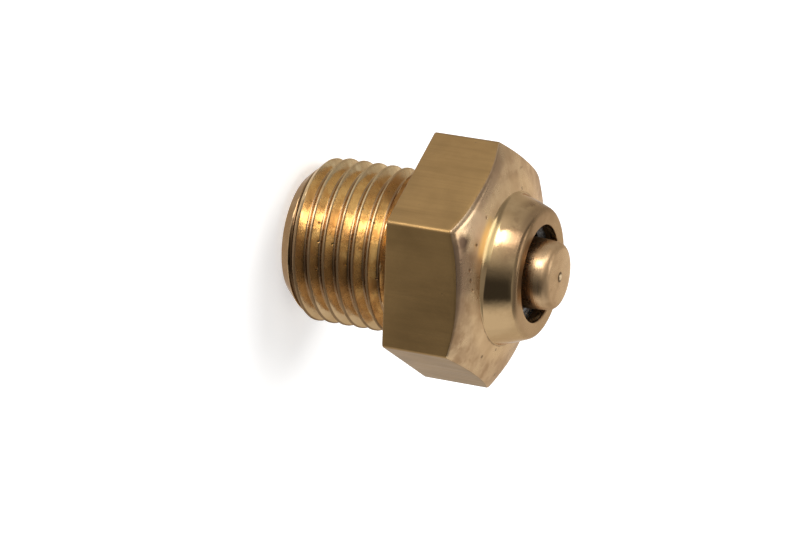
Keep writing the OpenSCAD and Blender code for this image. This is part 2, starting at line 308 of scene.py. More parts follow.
def thread_tree(material, turns, rows):
    """Geometry Nodes: a grid wrapped round the axis whose rows climb one pitch in a turn."""
    tree, size, result = new_tree("helical_thread", [
        "Pitch", "Crest radius", "Root radius", "Relief radius", "End radius",
        "End height", "Lead-in", "Relief height", "Top height"])
    grid = node_of(tree, "GeometryNodeMeshGrid", {
        "Size X": 1, "Size Y": 1, "Vertices X": COLUMNS + 1, "Vertices Y": turns * rows + 1})
    place = position(tree)
    turn = math_node(tree, "ADD", place[0], 0.5)
    climb = math_node(tree, "MULTIPLY", math_node(tree, "ADD", place[1], 0.5), turns)
    # A crest crosses the seating face's height at a quarter turn from the +X corner
    step = math_node(tree, "SUBTRACT", math_node(tree, "ADD", turn, climb), turns + 0.25)
    z = math_node(tree, "MULTIPLY", step, size["Pitch"])
    z = math_node(tree, "MAXIMUM", z, size["End height"])
    z = math_node(tree, "MINIMUM", z, size["Top height"])
    # Distance from the nearest crest, whose flat is an eighth of the pitch wide, and the sixty
    # degree flank below it
    off = math_node(tree, "PINGPONG", climb, 0.5)
    off = math_node(tree, "MULTIPLY", math_node(tree, "SUBTRACT", off, 1 / 16), size["Pitch"])
    flank = math_node(tree, "MULTIPLY", off, 1 / math.tan(math.radians(30)))
    flank = math_node(tree, "SUBTRACT", size["Crest radius"], flank)
    r = math_node(tree, "SMOOTH_MIN", flank, size["Crest radius"], CREST_SOFT * MM)
    r = math_node(tree, "SMOOTH_MAX", r, size["Root radius"], ROOT_SOFT * MM)
    # Lead-in chamfer at the end, and the flank that runs down into the relief
    rise = math_node(tree, "SUBTRACT", z, size["End height"])
    grow = math_node(tree, "SUBTRACT", size["Crest radius"], size["End radius"])
    grow = math_node(tree, "DIVIDE", grow, size["Lead-in"])
    lead = math_node(tree, "MULTIPLY_ADD", rise, grow, size["End radius"])
    r = math_node(tree, "SMOOTH_MIN", r, lead, END_SOFT * MM)
    drop = math_node(tree, "SUBTRACT", size["Relief height"], z)
    drop = math_node(tree, "MULTIPLY_ADD", drop, math.sqrt(3), size["Relief radius"])
    r = math_node(tree, "SMOOTH_MIN", r, drop, END_SOFT * MM)
    r = math_node(tree, "MAXIMUM", r, math_node(tree, "MINIMUM", lead, size["Relief radius"]))
    angle = math_node(tree, "MULTIPLY", turn, 2 * math.pi)
    wrap = wrapped(tree, grid.outputs["Mesh"], r, angle, z)
    weld = node_of(tree, "GeometryNodeMergeByDistance", {
        "Geometry": wrap, "Distance": 0.0008 * MM})
    painted(tree, weld.outputs[0], material, result)
    return tree


# BODY: THE BRASS
# Aged leaded brass. The flats keep the drawing die's streaks, the shoulder is turned satin with
# pits and small knocks, the closing die burnished the boss, and painted shade darkens the thread's
# roots.
def effect(name, inputs, outputs):
    """An empty shader node group with named inputs and outputs, as (group, in, out)."""
    group = bpy.data.node_groups.new(name, "ShaderNodeTree")
    kinds = {"color": "NodeSocketColor", "vector": "NodeSocketVector", "value": "NodeSocketFloat"}
    for side, sockets in (("INPUT", inputs), ("OUTPUT", outputs)):
        for label, kind in sockets:
            group.interface.new_socket(label, in_out=side, socket_type=kinds[kind])
    given = group.nodes.new("NodeGroupInput").outputs
    return group, given, group.nodes.new("NodeGroupOutput").inputs


def remap(tree, value, low, high, to_low=0.0, to_high=1.0):
    """A smooth step of a value from low..high to to_low..to_high."""
    node = node_of(tree, "ShaderNodeMapRange", {
        "Value": value, "From Min": low, "From Max": high, "To Min": to_low, "To Max": to_high,
    }, interpolation_type="SMOOTHSTEP")
    return node.outputs["Result"]


def remap_mm(tree, value, low, high, to_low=0.0, to_high=1.0):
    """A smooth step of a length, with low and high in millimetres."""
    return remap(tree, value, low * MM, high * MM, to_low, to_high)


def product(tree, first, *others):
    """Some masks multiplied by one another."""
    for other in others:
        first = math_node(tree, "MULTIPLY", first, other)
    return first


def noise(tree, where, scale, detail=3.0, rough=0.5):
    """Noise at a scale given in bumps per metre."""
    node = node_of(tree, "ShaderNodeTexNoise", {
        "Vector": where, "Scale": scale, "Detail": detail, "Roughness": rough})
    return node.outputs["Fac"]


# Stain: soft blotches between a clean and a stained colour, with a mask for the roughness
stain, given, made = effect("stain", [
    ("Place", "vector"), ("Clean", "color"), ("Stained", "color"), ("Scale", "value"),
    ("Amount", "value")], [("Color", "color"), ("Mask", "value")])
blotch = noise(stain, given["Place"], given["Scale"], 5.0, 0.62)
mask = math_node(stain, "MULTIPLY", remap(stain, blotch, 0.38, 0.66), given["Amount"])
mixed = node_of(stain, "ShaderNodeMix", {0: mask, 6: given["Clean"], 7: given["Stained"]},
                data_type="RGBA")
stain.links.new(mixed.outputs[2], made["Color"])
stain.links.new(mask, made["Mask"])

# Pits: scattered small holes and knocks, as a mask that is 1 in a pit
pits, given, made = effect("pits", [
    ("Place", "vector"), ("Scale", "value"), ("Size", "value"), ("Share", "value")],
    [("Mask", "value")])
cells = node_of(pits, "ShaderNodeTexVoronoi", {"Vector": given["Place"], "Scale": given["Scale"]})
chosen = math_node(pits, "LESS_THAN", node_of(pits, "ShaderNodeSeparateColor", {
    0: cells.outputs["Color"]}).outputs[0], given["Share"])
wobble = noise(pits, given["Place"], 9000.0, 2.0)
near = math_node(pits, "SUBTRACT", given["Size"], cells.outputs["Distance"])
near = math_node(pits, "MULTIPLY_ADD", wobble, 0.16, near)
near = remap(pits, near, 0.04, 0.16)
pits.links.new(math_node(pits, "MULTIPLY", near, chosen), made["Mask"])

# Tool marks: fine rings that a lathe tool leaves, a height that changes only along the outline,
# and the distance from the axis and the height along it, for stains that follow the turning
marks, given, made = effect("tool_marks", [("Place", "vector"), ("Scale", "value")],
                            [("Height", "value"), ("Radius", "value"), ("Along", "value")])
axes = node_of(marks, "ShaderNodeSeparateXYZ", {0: given["Place"]})
flat_spot = node_of(marks, "ShaderNodeCombineXYZ", {0: axes.outputs[0], 1: axes.outputs[1]})
radius = node_of(marks, "ShaderNodeVectorMath", {0: flat_spot.outputs[0]}, operation="LENGTH")
outline_spot = node_of(marks, "ShaderNodeCombineXYZ", {
    0: radius.outputs["Value"], 1: axes.outputs[2]})
marks.links.new(noise(marks, outline_spot.outputs[0], given["Scale"], 2.0, 0.6), made["Height"])
marks.links.new(radius.outputs["Value"], made["Radius"])
marks.links.new(axes.outputs[2], made["Along"])


def use(tree, group, **links):
    """The outputs of a group placed in a material, with its inputs named by keyword."""
    return node_of(tree, "ShaderNodeGroup", links, node_tree=group).outputs


def new_material(name, metallic=1.0, edge=(1, 1, 1, 1)):
    """A material with its Principled shader, and the object's own coordinates."""
    material = bpy.data.materials.new(name)
    material.use_nodes = True
    tree = material.node_tree
    shader = tree.nodes["Principled BSDF"]
    shader.inputs["Metallic"].default_value = metallic
    shader.inputs["Specular Tint"].default_value = edge
    place = tree.nodes.new("ShaderNodeTexCoord").outputs["Object"]
    return material, tree, shader, place


def stretched(tree, place, x, y, z):
    """The coordinates scaled on each axis, so that a pattern is drawn out along one of them."""
    return node_of(tree, "ShaderNodeMapping", {"Vector": place, "Scale": (x, y, z)}).outputs[0]


def reach(tree, place, way):
    """How far each point lies in a direction."""
    return node_of(tree, "ShaderNodeVectorMath", {0: place, 1: way},
                   operation="DOT_PRODUCT").outputs["Value"]


def heading(tree, place, way, radius):
    """Cosine of the angle round the axis between each point and a direction across it."""
    return math_node(tree, "DIVIDE", reach(tree, place, way), radius)


def turned(tree, place, scale):
    """The tool marks' height, the distance from the axis and the height along it."""
    made = use(tree, marks, Place=place, Scale=scale)
    return made["Height"], made["Radius"], made["Along"]


def pitted(tree, place, scale, size, share):
    """The mask of the pits."""
    return use(tree, pits, Place=place, Scale=scale, Size=size, Share=share)["Mask"]


def finish(tree, shader, color, rough, layers):
    """Colour, roughness, and bump from (height, depth in millimetres) layers, one on another."""
    tree.links.new(color, shader.inputs["Base Color"])
    tree.links.new(rough, shader.inputs["Roughness"])
    below = None
    for height, depth in layers:
        node = node_of(tree, "ShaderNodeBump", {
            "Height": height, "Distance": depth * MM, "Strength": 1.0})
        if below is not None:
            tree.links.new(below, node.inputs["Normal"])
        below = node.outputs[0]
    tree.links.new(below, shader.inputs["Normal"])


def toned(tree, color, mask, tone, amount):
    """The colour mixed towards a tone where the mask is."""
    fac = math_node(tree, "MULTIPLY", mask, amount)
    return node_of(tree, "ShaderNodeMix", {0: fac, 6: color, 7: (*tone, 1)},
                   data_type="RGBA").outputs[2]


def stained(tree, place, clean, dirty, scale, amount):
    """The stain's colour and its mask, for a clean and a dirty tone."""
    made = use(tree, stain, Place=place, Clean=(*clean, 1), Stained=(*dirty, 1), Scale=scale,
               Amount=amount)
    return made["Color"], made["Mask"]


# Tarnish keeps turned brass warm where it is seen edge-on
WARM_EDGE = (0.86, 0.74, 0.62, 1)

# Drawn flats: faint streaks along the bar, with olive tarnish
flat_brass, tree, shader, place = new_material("brass_drawn_flat")
streaks = noise(tree, stretched(tree, place, 1, 1, 0.035), 3000.0, 3.0, 0.6)
bands = noise(tree, stretched(tree, place, 1, 1, 0.12), 600.0, 3.0, 0.55)
color = stained(tree, place, (0.41, 0.252, 0.102), (0.34, 0.207, 0.083), 260.0, 0.8)[0]
color = toned(tree, color, remap(tree, streaks, 0.35, 0.7), (0.28, 0.17, 0.068), 0.35)
color = toned(tree, color, remap(tree, bands, 0.45, 0.75), (0.25, 0.15, 0.058), 0.38)
specks = pitted(tree, place, 1100.0, 0.10, 0.10)
color = toned(tree, color, specks, (0.13, 0.08, 0.04), 0.5)
finish(tree, shader, color, remap(tree, streaks, 0.3, 0.7, 0.42, 0.50),
       [(streaks, 0.004), (specks, -0.02)])

# Turned shoulder: pinkish satin with fine rings, pits and knocks
shoulder_brass, tree, shader, place = new_material("brass_turned_shoulder", edge=WARM_EDGE)
ridges, radius = turned(tree, place, 7000.0)[:2]
color, blots = stained(tree, place, (0.655, 0.46, 0.265), (0.49, 0.315, 0.175), 330.0, 0.75)
tarnish = remap(tree, noise(tree, place, 620.0, 4.0, 0.6), 0.48, 0.66)
color = toned(tree, color, tarnish, (0.38, 0.225, 0.115), 0.55)
# Lighter in a ring round the boss
color = toned(tree, color, remap_mm(tree, radius, 9.3, 8.3), (0.80, 0.56, 0.31), 0.5)
holes = pitted(tree, place, 950.0, 0.18, 0.20)
color = toned(tree, color, holes, (0.13, 0.075, 0.035), 0.7)
# Painted shade and dirt in the corner under the boss, fading out on one side
ragged = math_node(tree, "MULTIPLY_ADD", noise(tree, place, 1300.0, 3.0), 0.35 * MM, radius)
crease_shade_and_dirt = product(tree, remap_mm(tree, ragged, BOSS_R + 0.42, BOSS_R + 0.22),
               remap_mm(tree, reach(tree, place, (0.44, 0.90, 0)), 6.9, 6.0))
color = toned(tree, color, crease_shade_and_dirt, (0.16, 0.095, 0.05), 0.75)
# Scratches across the turning
scratched = pitted(tree, stretched(tree, place, 1, 0.25, 1), 1000.0, 0.14, 0.12)
color = toned(tree, color, scratched, (0.20, 0.12, 0.07), 0.45)
# A painted dark reflection in a band on one side, and a painted glint in a strip next to it
painted_dark_band = heading(tree, place, (0.216, 0.976, 0), radius)
painted_dark_band = product(tree, remap(tree, painted_dark_band, 0.965, 0.99), remap_mm(tree, radius, 8.2, 9.2, 0.5, 1.0))
color = toned(tree, color, painted_dark_band, (0.31, 0.20, 0.12), 0.8)
painted_glint_strip = heading(tree, place, (0.643, 0.766, 0), radius)
painted_glint_strip = product(tree, remap(tree, painted_glint_strip, 0.982, 0.998),
                remap(tree, noise(tree, place, 500.0), 0.3, 0.5))
color = toned(tree, color, painted_glint_strip, (0.84, 0.60, 0.38), 0.6)
# Painted orange reflection at the foot of the boss beside one corner, and a brown smudge next to
# it
at_corner = heading(tree, place, (0.60, 0.80, 0), radius)
painted_glow = product(tree, remap(tree, at_corner, 0.955, 0.992), remap_mm(tree, radius, 8.7, 8.0))
color = toned(tree, color, painted_glow, (1.0, 0.70, 0.30), 0.95)
smudge = node_of(tree, "ShaderNodeVectorMath", {0: place, 1: (0.0049, 0.0095, 0.0074)},
                 operation="DISTANCE").outputs["Value"]
smudge = math_node(tree, "MULTIPLY_ADD", noise(tree, place, 1500.0, 3.0), 0.8 * MM, smudge)
color = toned(tree, color, remap_mm(tree, smudge, 1.55, 0.75), (0.10, 0.06, 0.04), 0.92)
# Painted shade in a soft band along the worn arcs of the two flats that meet at that corner
painted_arc_shade = math_node(tree, "MAXIMUM", remap_mm(tree, reach(tree, place, (0.866, 0.5, 0)), 9.0, 9.7),
                 remap_mm(tree, reach(tree, place, (0.0, 1.0, 0)), 9.0, 10.2))
painted_arc_shade = product(tree, painted_arc_shade, remap(tree, at_corner, 0.995, 0.965),
               remap(tree, at_corner, 0.55, 0.75))
color = toned(tree, color, painted_arc_shade, (0.34, 0.22, 0.14), 0.6)
finish(tree, shader, color, remap(tree, blots, 0.0, 0.8, 0.27, 0.38),
       [(ridges, 0.006), (noise(tree, place, 1500.0, 4.0), 0.02), (holes, -0.05)])

# Pressed boss: burnished bright, with faint rings
boss_brass, tree, shader, place = new_material("brass_pressed_boss", edge=WARM_EDGE)
ridges, radius, along = turned(tree, place, 5000.0)
color, blots = stained(tree, place, (0.60, 0.41, 0.215), (0.47, 0.305, 0.15), 380.0, 0.6)
specks = pitted(tree, place, 1300.0, 0.12, 0.08)
color = toned(tree, color, specks, (0.16, 0.10, 0.05), 0.6)
# Old brown film that the die left on the upper side, thickest on the edge
high = reach(tree, place, (0.97, 0.25, 0))
patchy = remap(tree, noise(tree, place, 430.0, 4.0, 0.6), 0.38, 0.54, 0.3, 1.0)
brown_tone = product(tree, remap_mm(tree, high, 2.6, 5.6), patchy, remap_mm(tree, along, 9.1, 10.3))
color = toned(tree, color, brown_tone, (0.25, 0.15, 0.08), 0.85)
on_edge = product(tree, remap_mm(tree, high, 4.4, 5.6), remap_mm(tree, along, 10.2, 10.8))
color = toned(tree, color, on_edge, (0.27, 0.165, 0.09), 0.6)
# The hollow at the foot beside one corner is satin, with a painted orange reflection
at_corner = heading(tree, place, (0.60, 0.80, 0), radius)
painted_glow = product(tree, remap(tree, at_corner, 0.94, 0.99), remap_mm(tree, along, 8.95, 8.6))
color = toned(tree, color, painted_glow, (1.0, 0.74, 0.36), 0.95)
# The rim's front is duller and browner than the burnished side, and carries painted shade on the
# left
front = remap_mm(tree, along, 10.9, 11.25)
color = toned(tree, color, front, (0.42, 0.27, 0.145), 0.75)
painted_front_shade = product(tree, remap_mm(tree, reach(tree, place, (0.4, 0.92, 0)), 3.2, 5.0), front)
color = toned(tree, color, painted_front_shade, (0.20, 0.12, 0.06), 0.7)
rough = remap(tree, blots, 0.0, 0.6, 0.10, 0.18)
for mask, duller in ((brown_tone, 0.14), (painted_glow, 0.28), (front, 0.16)):
    rough = math_node(tree, "MULTIPLY_ADD", mask, duller, rough)
finish(tree, shader, color, rough,
       [(ridges, 0.004), (noise(tree, place, 1100.0, 3.0), 0.012), (specks, -0.03)])

# Bores: dull, darkened with painted shade
bore_brass, tree, shader, place = new_material("brass_bore")
ridges = turned(tree, place, 4000.0)[0]
color, blots = stained(tree, place, (0.30, 0.19, 0.09), (0.12, 0.075, 0.04), 500.0, 0.9)
finish(tree, shader, color, remap(tree, blots, 0.0, 0.9, 0.35, 0.6), [(ridges, 0.01)])

# Thread: golden flanks with brown stain, and painted shade that gathers towards the roots
thread_brass, tree, shader, place = new_material("brass_cut_thread", edge=WARM_EDGE)
radius, along = turned(tree, place, 6000.0)[1:]
color, blots = stained(tree, place, (0.86, 0.66, 0.38), (0.67, 0.475, 0.25), 420.0, 0.9)
# One side of the thread is browner, in blotches drawn out along the axis
lower = reach(tree, place, (-0.77, 0.64, 0))
blotches = noise(tree, stretched(tree, place, 1, 1, 0.4), 380.0, 4.0, 0.6)
blotches = math_node(tree, "MULTIPLY_ADD", lower, 45.0, blotches)
# The turns next to the hexagon are painted lighter against the hexagon's shade, but for a brown
# patch on the upper side
behind_hex = remap_mm(tree, along, -4.8, -3.2)
high = reach(tree, place, (0.97, -0.25, 0))
patch = remap_mm(tree, high, 3.0, 6.0, -0.16, 0.40)
blotches = math_node(tree, "MULTIPLY_ADD", behind_hex, patch, blotches)
color = toned(tree, color, remap(tree, blotches, 0.45, 0.75), (0.38, 0.23, 0.12), 0.6)
rust = remap(tree, noise(tree, place, 850.0, 5.0, 0.65), 0.50, 0.66)
color = toned(tree, color, rust, (0.60, 0.38, 0.17), 0.5)
# Painted shade along the roots
color = toned(tree, color, remap_mm(tree, radius, 7.02, 6.97), (0.24, 0.13, 0.06), 0.8)
# Painted shade fills the grooves on the lower side and browns the upper and lower edges
painted_groove_shade = product(tree, remap_mm(tree, radius, 7.6, 7.05), remap_mm(tree, lower, 2.0, 4.2),
                remap(tree, noise(tree, place, 450.0, 3.0), 0.35, 0.55),
                remap(tree, behind_hex, 0.0, 1.0, 1.0, 0.3))
color = toned(tree, color, painted_groove_shade, (0.19, 0.115, 0.065), 0.28)
brown_tone = product(tree, remap_mm(tree, math_node(tree, "ABSOLUTE", high), 5.4, 7.3),
               remap(tree, noise(tree, place, 520.0, 4.0, 0.6), 0.35, 0.55))
color = toned(tree, color, brown_tone, (0.56, 0.38, 0.19), 0.55)
# Crests are duller, with painted shade, least on the upper side where the highlight falls
painted_crest_shade = product(tree, remap_mm(tree, radius, 7.72, 7.80),
                remap_mm(tree, lower, -1.0, 2.8, 0.25, 1.0))
color = toned(tree, color, painted_crest_shade, (0.22, 0.135, 0.07), 0.85)
# Painted shade in the grooves that cross the lead-in chamfer
cone_r = math_node(tree, "MULTIPLY_ADD", math_node(tree, "SUBTRACT", along, END_Z * MM),
                   (CREST_R - END_R) / LEAD_IN, END_R * MM)
below = remap_mm(tree, math_node(tree, "SUBTRACT", cone_r, radius), 0.05, 0.16)
nose = product(tree, below, remap_mm(tree, along, -10.6, -10.9))
color = toned(tree, color, nose, (0.10, 0.055, 0.025), 0.9)
specks = pitted(tree, place, 1150.0, 0.14, 0.14)
color = toned(tree, color, specks, (0.09, 0.05, 0.025), 0.8)
rough = math_node(tree, "MULTIPLY_ADD", painted_crest_shade, 0.22, remap(tree, blots, 0.0, 0.8, 0.17, 0.30))
finish(tree, shader, color, rough,
       [(noise(tree, place, 1700.0, 4.0, 0.6), 0.02), (specks, -0.04)])


# BODY: PUT TOGETHER
# The thread's rows meet the blank at the relief and at the end face. The two are joined to one
# closed skin, as the body is one piece of bar.
brass = [flat_brass, shoulder_brass, boss_brass, bore_brass, thread_brass]
blank = skin(rings, zones, brass, "body_blank")
thread = grown(thread_tree(thread_brass, turns=10, rows=24), {
    "Pitch": PITCH * MM, "Crest radius": CREST_R * MM, "Root radius": ROOT_R * MM,
    "Relief radius": RELIEF_R * MM, "End radius": END_R * MM, "End height": END_Z * MM,
    "Lead-in": LEAD_IN * MM, "Relief height": RELIEF_Z * MM, "Top height": RELIEF_TOP * MM},
    "thread")


def finished(name, meshes, materials, body, nodes):
    """One closed, smooth piece from these meshes, which rides on a body in place of CAD nodes."""
    shell = bmesh.new()
    for mesh, zone in meshes:
        count = len(shell.faces)
        shell.from_mesh(mesh)
        if zone is not None:
            shell.faces.ensure_lookup_table()
            for face in shell.faces[count:]:
                face.material_index = zone
    bmesh.ops.remove_doubles(shell, verts=shell.verts, dist=0.001 * MM)
    bmesh.ops.dissolve_degenerate(shell, edges=shell.edges, dist=0.0005 * MM)
    bmesh.ops.recalc_face_normals(shell, faces=shell.faces)
    for face in shell.faces:
        face.smooth = True
    mesh = bpy.data.meshes.new(name)
    shell.to_mesh(mesh)
    shell.free()
    for material in materials:
        mesh.materials.append(material)
    piece = bpy.data.objects.new(name, mesh)
    bpy.context.scene.collection.objects.link(piece)
    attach(piece, body)
    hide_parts(*nodes)
    return piece


body = finished("body_turned", [(blank, None), (thread, THREAD)], brass, "body",
                ["body"])
body.data.set_sharp_from_angle(angle=math.radians(35))

# PLUNGER
# Turned from round brass bar: a cup for the seal disc, a guide collar with three milled flats, a
# stub that centres the spring, and the pin that stands out of the outlet with its parting pip.
DISC_Z = -7.0
CUP_R = 4.175
CUP_WALL = 0.6
CUP_DEPTH = 0.7
COLLAR_Z = -6.3
COLLAR_R = 5.34
EDGE_BREAK = 0.2
FLAT_DEPTH = 1.05
SPRING_Z = -3.7
STUB_R = 3.9
STUB_Z = -2.7
PIN_R = 3.38
PIN_Z = 13.25
PIN_ROUND = 0.75
PIN_LEAN = math.radians(8)
HOLE_R = 1.06
HOLE_Z = -3.7
# So near the axis the points of a ring merge into one
AXIS_R = 0.001
# Radius of the pip, and how far it stands above the pin's end
PIP = [(0.50, 0), (0.38, 0.015), (0.32, 0.05), (0.26, 0.09), (0.14, 0.118), (AXIS_R, 0.12)]

pin_brass, tree, shader, place = new_material("brass_plunger_pin", edge=WARM_EDGE)
ridges, radius, along = turned(tree, place, 5200.0)
color, blots = stained(tree, place, (0.57, 0.385, 0.215), (0.45, 0.285, 0.15), 520.0, 0.7)
nicks = pitted(tree, place, 1500.0, 0.12, 0.12)
color = toned(tree, color, nicks, (0.20, 0.12, 0.06), 0.6)
# One half of the pin's end is lighter
end = remap_mm(tree, along, 13.2, 13.24)
half = product(tree, remap_mm(tree, reach(tree, place, (-0.1, -0.99, 0)), -0.5, 2.5), end)
color = toned(tree, color, half, (0.78, 0.57, 0.35), 0.55)
# The pip carries a painted highlight, and painted shade lies in the ring round it
pip_ring_shade = product(tree, remap_mm(tree, radius, 0.29, 0.35), remap_mm(tree, radius, 0.56, 0.45), end)
color = toned(tree, color, pip_ring_shade, (0.07, 0.04, 0.02), 0.9)
pip_highlight = product(tree, remap_mm(tree, radius, 0.33, 0.27), end)
color = toned(tree, color, pip_highlight, (0.95, 0.76, 0.50), 0.8)
# The rounded edge is duller than the side
edge = product(tree, remap_mm(tree, along, 12.3, 12.8), remap_mm(tree, along, 13.245, 13.15))
rough = math_node(tree, "MULTIPLY_ADD", edge, 0.16, remap(tree, blots, 0.0, 0.7, 0.25, 0.38))
finish(tree, shader, color, rough,
       [(ridges, 0.008), (noise(tree, place, 1800.0, 3.0), 0.012), (nicks, -0.02)])

plunger_angles = np.linspace(0, 2 * math.pi, 144, endpoint=False)
flat_reach = (COLLAR_R - FLAT_DEPTH) / np.maximum(
    np.cos((plunger_angles + math.pi / 3) % (2 * math.pi / 3) - math.pi / 3), 0.01)
# The pin's side draws in slightly towards its end
lean_end = PIN_Z - PIN_ROUND * (1 - math.sin(PIN_LEAN))
lean_start = 10.2
side = []
for z in np.linspace(lean_start, lean_end, 7):
    drawn_in = (z - lean_start) ** 2 * math.sin(PIN_LEAN) / (lean_end - lean_start) / 2
    side.append((PIN_R - drawn_in, z))
pin_end_r = side[-1][0] - PIN_ROUND * math.cos(PIN_LEAN)
profile = (
    [(AXIS_R, HOLE_Z), (HOLE_R, HOLE_Z), (HOLE_R, DISC_Z), (CUP_R, DISC_Z)]
    + [(CUP_R, DISC_Z - CUP_DEPTH), (CUP_R + CUP_WALL, DISC_Z - CUP_DEPTH)]
    + [(CUP_R + CUP_WALL, COLLAR_Z), (COLLAR_R - EDGE_BREAK, COLLAR_Z)]
    + [(COLLAR_R, COLLAR_Z + EDGE_BREAK), (COLLAR_R, SPRING_Z - EDGE_BREAK)]
    + [(COLLAR_R - EDGE_BREAK, SPRING_Z), (STUB_R, SPRING_Z), (STUB_R, STUB_Z - EDGE_BREAK)]
    + [(STUB_R - EDGE_BREAK, STUB_Z), (PIN_R, STUB_Z)]
    + [(PIN_R, 2.0), (PIN_R, 8.0)] + side
    + bend(pin_end_r, PIN_Z - PIN_ROUND, PIN_ROUND, math.degrees(PIN_LEAN), 90, 12)[1:]
    + [(1.6, PIN_Z)] + [(r, PIN_Z + rise) for r, rise in PIP]
)
plunger_rings = []
for r, z in profile:
    on_collar = COLLAR_Z - 0.01 <= z <= SPRING_Z + 0.01 and r > CUP_R + CUP_WALL + 0.01
    plunger_rings.append(ring(np.minimum(r, flat_reach) if on_collar else r, z, plunger_angles))
plunger_mesh = skin(plunger_rings, [0] * len(profile), [pin_brass], "plunger_turned")
plunger = finished("plunger_turned", [(plunger_mesh, None)], [pin_brass], "plunger",
                   ["plunger"])
plunger.data.set_sharp_from_angle(angle=math.radians(30))

# SEAL
# A moulded nitrile disc in the plunger's cup, clamped by a small turned brass washer and a slotted
# screw. The CAD pieces show, in these materials.
seal_rubber, tree, shader, place = new_material("nitrile_rubber", 0.0)
grain = noise(tree, place, 6000.0, 3.0)
color = stained(tree, place, (0.020, 0.020, 0.021), (0.045, 0.042, 0.038), 700.0, 0.8)[0]
finish(tree, shader, color, remap(tree, grain, 0.3, 0.7, 0.55, 0.75), [(grain, 0.01)])

small_brass, tree, shader, place = new_material("brass_small_turned")
ridges = turned(tree, place, 6000.0)[0]
color, blots = stained(tree, place, (0.57, 0.38, 0.19), (0.38, 0.24, 0.11), 600.0, 0.7)
finish(tree, shader, color, remap(tree, blots, 0.0, 0.7, 0.25, 0.4), [(ridges, 0.008)])


def dress(node, material):
    """Gives a CAD piece its material."""
    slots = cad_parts[node].data.materials
    slots.clear()
    slots.append(material)


dress("seal_disc", seal_rubber)
dress("seal_washer", small_brass)
dress("seal_screw", small_brass)

# SPRING AND RETAINING WASHER
# Stainless wire, wound cold with a closed and ground turn at each end. It presses the plunger
# down from the thin steel washer that the rim of the pressed boss holds.
SPRING_TOP = 9.5
WIRE = 1.0
COIL_R = 4.7
TURNS = 10.0

steel, tree, shader, place = new_material("spring_steel")
grain = noise(tree, place, 3000.0, 3.0)
color = stained(tree, place, (0.36, 0.36, 0.36), (0.20, 0.19, 0.18), 600.0, 0.7)[0]
finish(tree, shader, color, remap(tree, grain, 0.3, 0.7, 0.22, 0.36), [(grain, 0.006)])


def spring_tree(material, points):
    """Geometry Nodes: a round wire swept along a coil whose end turns lie wire on wire."""
    tree, size, result = new_tree("compression_spring", [
        "Coil radius", "Wire", "Turns", "Bottom", "Length"])
    line = node_of(tree, "GeometryNodeMeshLine", {"Count": points})
    path = node_of(tree, "GeometryNodeMeshToCurve", {0: line.outputs[0]})
    index = tree.nodes.new("GeometryNodeInputIndex").outputs[0]
    turn = math_node(tree, "DIVIDE", index, points - 1)
    turn = math_node(tree, "MULTIPLY", turn, size["Turns"])
    # The closed turn at each end climbs by one wire, and the free turns share the rest
    free = math_node(tree, "SUBTRACT", size["Turns"], 2.0)
    low = math_node(tree, "MINIMUM", turn, 1.0)
    middle = math_node(tree, "MAXIMUM", math_node(tree, "SUBTRACT", turn, 1.0), 0.0)
    middle = math_node(tree, "MINIMUM", middle, free)
    high = math_node(tree, "SUBTRACT", math_node(tree, "SUBTRACT", turn, free), 1.0)
    high = math_node(tree, "MAXIMUM", high, 0.0)
    closed = math_node(tree, "MULTIPLY", math_node(tree, "ADD", low, high), size["Wire"])
    rise = math_node(tree, "MULTIPLY", size["Wire"], 2.0)
    rise = math_node(tree, "DIVIDE", math_node(tree, "SUBTRACT", size["Length"], rise), free)
    z = math_node(tree, "MULTIPLY_ADD", middle, rise, closed)
    z = math_node(tree, "ADD", z, size["Bottom"])
    angle = math_node(tree, "MULTIPLY", turn, 2 * math.pi)
    coil = wrapped(tree, path.outputs[0], size["Coil radius"], angle, z)
    round_wire = node_of(tree, "GeometryNodeCurvePrimitiveCircle", {
        "Resolution": 14, "Radius": math_node(tree, "MULTIPLY", size["Wire"], 0.5)})
    sweep = node_of(tree, "GeometryNodeCurveToMesh", {
        "Curve": coil, "Profile Curve": round_wire.outputs[0], "Fill Caps": True})
    # The grinding wheel flattens each end at the spring's own length
    at = position(tree)
    ground_z = math_node(tree, "MAXIMUM", at[2], size["Bottom"])
    top = math_node(tree, "ADD", size["Bottom"], size["Length"])
    ground_z = math_node(tree, "MINIMUM", ground_z, top)
    painted(tree, moved(tree, sweep.outputs[0], at[0], at[1], ground_z), material, result)
    return tree


spring_mesh = grown(spring_tree(steel, points=481), {
    "Coil radius": COIL_R * MM, "Wire": WIRE * MM, "Turns": TURNS, "Bottom": SPRING_Z * MM,
    "Length": (SPRING_TOP - SPRING_Z) * MM}, "spring")
spring = finished("spring_coil", [(spring_mesh, 0)], [steel], "body", ["spring"])
spring.data.set_sharp_from_angle(angle=math.radians(40))
# The spring is 13.2 mm long, and 10.2 mm when the plunger is fully lifted
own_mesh(spring)
dress("retaining_washer", steel)

